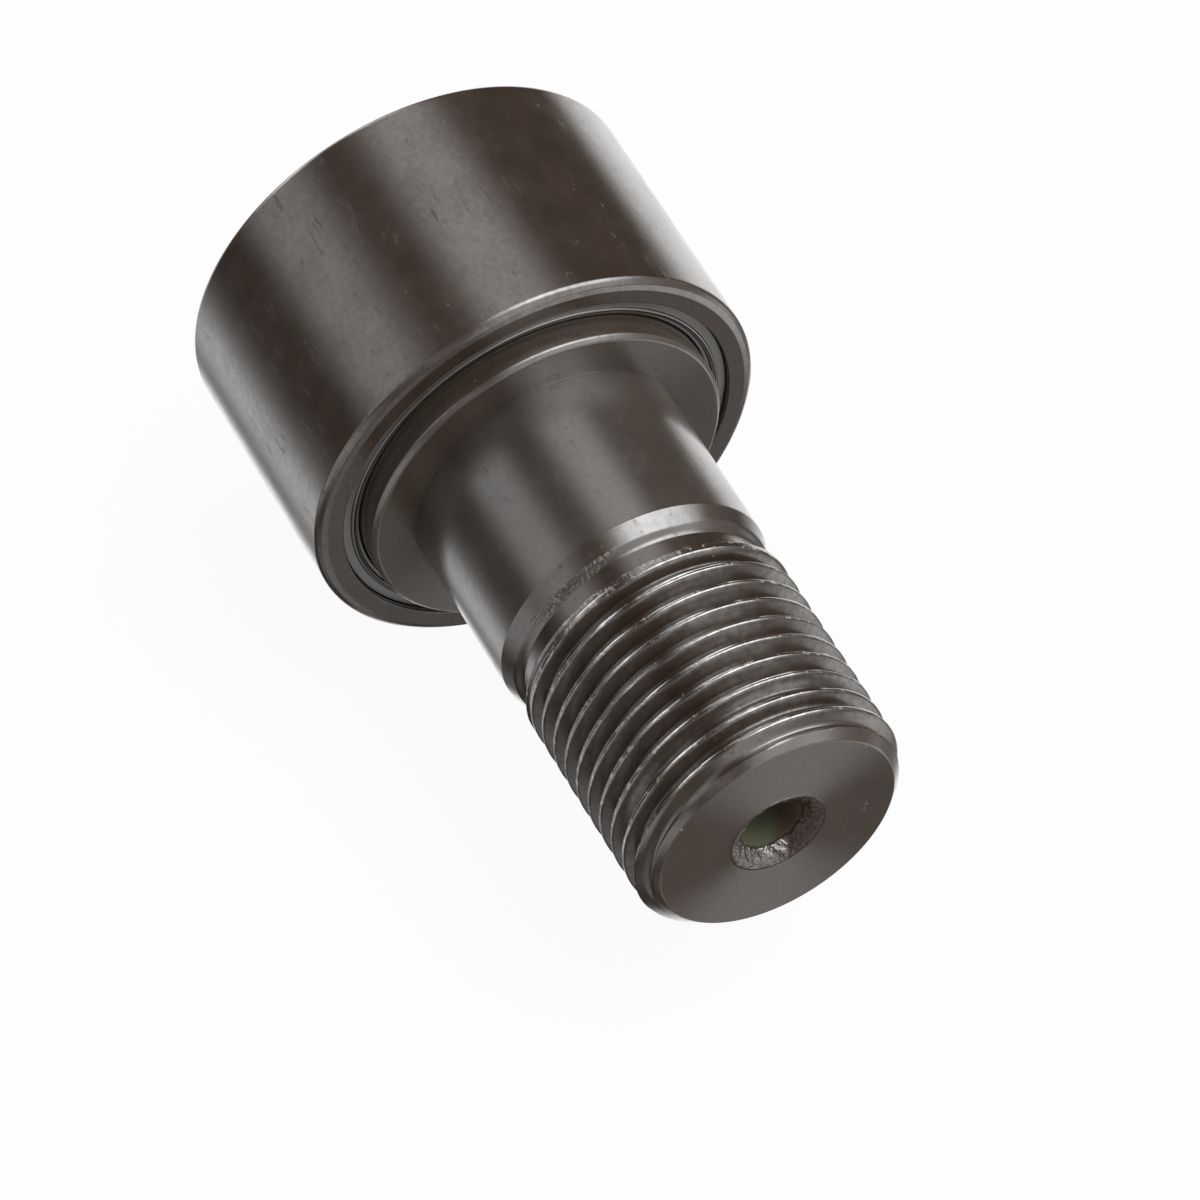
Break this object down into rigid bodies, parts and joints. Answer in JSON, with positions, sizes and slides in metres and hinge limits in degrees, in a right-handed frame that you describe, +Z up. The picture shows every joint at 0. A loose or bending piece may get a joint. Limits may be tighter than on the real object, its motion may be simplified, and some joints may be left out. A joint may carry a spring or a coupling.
{
  "type": "stud-type cam follower",
  "caption": "Heavy-stud track roller: sealed outer ring turning on a needle row about a headed stud with a plain shank, relief neck, fixing thread and axial grease hole.",
  "frame": {"origin": "on the stud's centre line, halfway along the whole part (centre of the bounding box)", "axes": "+X along the stud towards its threaded end, +Z up, +Y completes a right-handed frame"},
  "size_m": [0.0528, 0.0318, 0.0318],
  "materials": {
    "stud_black_oxide": "black oxide on turned steel, satin, oiled",
    "plate_black_oxide": "black oxide on a stamped washer, satin",
    "ring_black_oxide": "black oxide on ground bearing steel, semi-gloss",
    "seal_polymer": "moulded black polymer, slightly glossy",
    "needle_steel": "ground and honed bearing steel"
  },
  "bodies": {
    "stud_assembly": {"stud": "stud_black_oxide", "end_plate": "plate_black_oxide"},
    "roller": {"outer_ring": "ring_black_oxide", "seal_stud_side": "seal_polymer", "seal_head_side": "seal_polymer"},
    "needle_row": {"needle_01": "needle_steel"},
    "needle_02_body": {"needle_02": "needle_steel"},
    "needle_03_body": {"needle_03": "needle_steel"},
    "needle_04_body": {"needle_04": "needle_steel"},
    "needle_05_body": {"needle_05": "needle_steel"},
    "needle_06_body": {"needle_06": "needle_steel"},
    "needle_07_body": {"needle_07": "needle_steel"},
    "needle_08_body": {"needle_08": "needle_steel"},
    "needle_09_body": {"needle_09": "needle_steel"},
    "needle_10_body": {"needle_10": "needle_steel"},
    "needle_11_body": {"needle_11": "needle_steel"},
    "needle_12_body": {"needle_12": "needle_steel"},
    "needle_13_body": {"needle_13": "needle_steel"},
    "needle_14_body": {"needle_14": "needle_steel"},
    "needle_15_body": {"needle_15": "needle_steel"},
    "needle_16_body": {"needle_16": "needle_steel"},
    "needle_17_body": {"needle_17": "needle_steel"},
    "needle_18_body": {"needle_18": "needle_steel"},
    "needle_19_body": {"needle_19": "needle_steel"},
    "needle_20_body": {"needle_20": "needle_steel"},
    "needle_21_body": {"needle_21": "needle_steel"},
    "needle_22_body": {"needle_22": "needle_steel"},
    "needle_23_body": {"needle_23": "needle_steel"},
    "needle_24_body": {"needle_24": "needle_steel"},
    "needle_25_body": {"needle_25": "needle_steel"},
    "needle_26_body": {"needle_26": "needle_steel"},
    "needle_27_body": {"needle_27": "needle_steel"},
    "needle_28_body": {"needle_28": "needle_steel"}
  },
  "joints": [
    {"name": "roller_spin", "type": "hinge", "parent": "stud_assembly", "child": "roller", "pos_m": [-0.01648, 0, 0], "axis": [1, 0, 0], "continuous": true},
    {"name": "needle_orbit", "type": "hinge", "parent": "stud_assembly", "child": "needle_row", "pos_m": [-0.01648, 0, 0], "axis": [1, 0, 0], "continuous": true},
    {"name": "needle_02_spin", "type": "hinge", "parent": "needle_row", "child": "needle_02_body", "pos_m": [-0.01648, 0.01116, 0.00255], "axis": [1, 0, 0], "continuous": true},
    {"name": "needle_03_spin", "type": "hinge", "parent": "needle_row", "child": "needle_03_body", "pos_m": [-0.01648, 0.01032, 0.00497], "axis": [1, 0, 0], "continuous": true},
    {"name": "needle_04_spin", "type": "hinge", "parent": "needle_row", "child": "needle_04_body", "pos_m": [-0.01648, 0.00895, 0.00714], "axis": [1, 0, 0], "continuous": true},
    {"name": "needle_05_spin", "type": "hinge", "parent": "needle_row", "child": "needle_05_body", "pos_m": [-0.01648, 0.00714, 0.00895], "axis": [1, 0, 0], "continuous": true},
    {"name": "needle_06_spin", "type": "hinge", "parent": "needle_row", "child": "needle_06_body", "pos_m": [-0.01648, 0.00497, 0.01032], "axis": [1, 0, 0], "continuous": true},
    {"name": "needle_07_spin", "type": "hinge", "parent": "needle_row", "child": "needle_07_body", "pos_m": [-0.01648, 0.00255, 0.01116], "axis": [1, 0, 0], "continuous": true},
    {"name": "needle_08_spin", "type": "hinge", "parent": "needle_row", "child": "needle_08_body", "pos_m": [-0.01648, 0, 0.01145], "axis": [1, 0, 0], "continuous": true},
    {"name": "needle_09_spin", "type": "hinge", "parent": "needle_row", "child": "needle_09_body", "pos_m": [-0.01648, -0.00255, 0.01116], "axis": [1, 0, 0], "continuous": true},
    {"name": "needle_10_spin", "type": "hinge", "parent": "needle_row", "child": "needle_10_body", "pos_m": [-0.01648, -0.00497, 0.01032], "axis": [1, 0, 0], "continuous": true},
    {"name": "needle_11_spin", "type": "hinge", "parent": "needle_row", "child": "needle_11_body", "pos_m": [-0.01648, -0.00714, 0.00895], "axis": [1, 0, 0], "continuous": true},
    {"name": "needle_12_spin", "type": "hinge", "parent": "needle_row", "child": "needle_12_body", "pos_m": [-0.01648, -0.00895, 0.00714], "axis": [1, 0, 0], "continuous": true},
    {"name": "needle_13_spin", "type": "hinge", "parent": "needle_row", "child": "needle_13_body", "pos_m": [-0.01648, -0.01032, 0.00497], "axis": [1, 0, 0], "continuous": true},
    {"name": "needle_14_spin", "type": "hinge", "parent": "needle_row", "child": "needle_14_body", "pos_m": [-0.01648, -0.01116, 0.00255], "axis": [1, 0, 0], "continuous": true},
    {"name": "needle_15_spin", "type": "hinge", "parent": "needle_row", "child": "needle_15_body", "pos_m": [-0.01648, -0.01145, 0], "axis": [1, 0, 0], "continuous": true},
    {"name": "needle_16_spin", "type": "hinge", "parent": "needle_row", "child": "needle_16_body", "pos_m": [-0.01648, -0.01116, -0.00255], "axis": [1, 0, 0], "continuous": true},
    {"name": "needle_17_spin", "type": "hinge", "parent": "needle_row", "child": "needle_17_body", "pos_m": [-0.01648, -0.01032, -0.00497], "axis": [1, 0, 0], "continuous": true},
    {"name": "needle_18_spin", "type": "hinge", "parent": "needle_row", "child": "needle_18_body", "pos_m": [-0.01648, -0.00895, -0.00714], "axis": [1, 0, 0], "continuous": true},
    {"name": "needle_19_spin", "type": "hinge", "parent": "needle_row", "child": "needle_19_body", "pos_m": [-0.01648, -0.00714, -0.00895], "axis": [1, 0, 0], "continuous": true},
    {"name": "needle_20_spin", "type": "hinge", "parent": "needle_row", "child": "needle_20_body", "pos_m": [-0.01648, -0.00497, -0.01032], "axis": [1, 0, 0], "continuous": true},
    {"name": "needle_21_spin", "type": "hinge", "parent": "needle_row", "child": "needle_21_body", "pos_m": [-0.01648, -0.00255, -0.01116], "axis": [1, 0, 0], "continuous": true},
    {"name": "needle_22_spin", "type": "hinge", "parent": "needle_row", "child": "needle_22_body", "pos_m": [-0.01648, 0, -0.01145], "axis": [1, 0, 0], "continuous": true},
    {"name": "needle_23_spin", "type": "hinge", "parent": "needle_row", "child": "needle_23_body", "pos_m": [-0.01648, 0.00255, -0.01116], "axis": [1, 0, 0], "continuous": true},
    {"name": "needle_24_spin", "type": "hinge", "parent": "needle_row", "child": "needle_24_body", "pos_m": [-0.01648, 0.00497, -0.01032], "axis": [1, 0, 0], "continuous": true},
    {"name": "needle_25_spin", "type": "hinge", "parent": "needle_row", "child": "needle_25_body", "pos_m": [-0.01648, 0.00714, -0.00895], "axis": [1, 0, 0], "continuous": true},
    {"name": "needle_26_spin", "type": "hinge", "parent": "needle_row", "child": "needle_26_body", "pos_m": [-0.01648, 0.00895, -0.00714], "axis": [1, 0, 0], "continuous": true},
    {"name": "needle_27_spin", "type": "hinge", "parent": "needle_row", "child": "needle_27_body", "pos_m": [-0.01648, 0.01032, -0.00497], "axis": [1, 0, 0], "continuous": true},
    {"name": "needle_28_spin", "type": "hinge", "parent": "needle_row", "child": "needle_28_body", "pos_m": [-0.01648, 0.01116, -0.00255], "axis": [1, 0, 0], "continuous": true}
  ],
  "couplings": [
    {"joint": "needle_orbit", "follows": "roller_spin", "ratio": 0.55458},
    {"joint": "needle_02_spin", "follows": "roller_spin", "ratio": 4.5254},
    {"joint": "needle_03_spin", "follows": "roller_spin", "ratio": 4.5254},
    {"joint": "needle_04_spin", "follows": "roller_spin", "ratio": 4.5254},
    {"joint": "needle_05_spin", "follows": "roller_spin", "ratio": 4.5254},
    {"joint": "needle_06_spin", "follows": "roller_spin", "ratio": 4.5254},
    {"joint": "needle_07_spin", "follows": "roller_spin", "ratio": 4.5254},
    {"joint": "needle_08_spin", "follows": "roller_spin", "ratio": 4.5254},
    {"joint": "needle_09_spin", "follows": "roller_spin", "ratio": 4.5254},
    {"joint": "needle_10_spin", "follows": "roller_spin", "ratio": 4.5254},
    {"joint": "needle_11_spin", "follows": "roller_spin", "ratio": 4.5254},
    {"joint": "needle_12_spin", "follows": "roller_spin", "ratio": 4.5254},
    {"joint": "needle_13_spin", "follows": "roller_spin", "ratio": 4.5254},
    {"joint": "needle_14_spin", "follows": "roller_spin", "ratio": 4.5254},
    {"joint": "needle_15_spin", "follows": "roller_spin", "ratio": 4.5254},
    {"joint": "needle_16_spin", "follows": "roller_spin", "ratio": 4.5254},
    {"joint": "needle_17_spin", "follows": "roller_spin", "ratio": 4.5254},
    {"joint": "needle_18_spin", "follows": "roller_spin", "ratio": 4.5254},
    {"joint": "needle_19_spin", "follows": "roller_spin", "ratio": 4.5254},
    {"joint": "needle_20_spin", "follows": "roller_spin", "ratio": 4.5254},
    {"joint": "needle_21_spin", "follows": "roller_spin", "ratio": 4.5254},
    {"joint": "needle_22_spin", "follows": "roller_spin", "ratio": 4.5254},
    {"joint": "needle_23_spin", "follows": "roller_spin", "ratio": 4.5254},
    {"joint": "needle_24_spin", "follows": "roller_spin", "ratio": 4.5254},
    {"joint": "needle_25_spin", "follows": "roller_spin", "ratio": 4.5254},
    {"joint": "needle_26_spin", "follows": "roller_spin", "ratio": 4.5254},
    {"joint": "needle_27_spin", "follows": "roller_spin", "ratio": 4.5254},
    {"joint": "needle_28_spin", "follows": "roller_spin", "ratio": 4.5254}
  ]
}
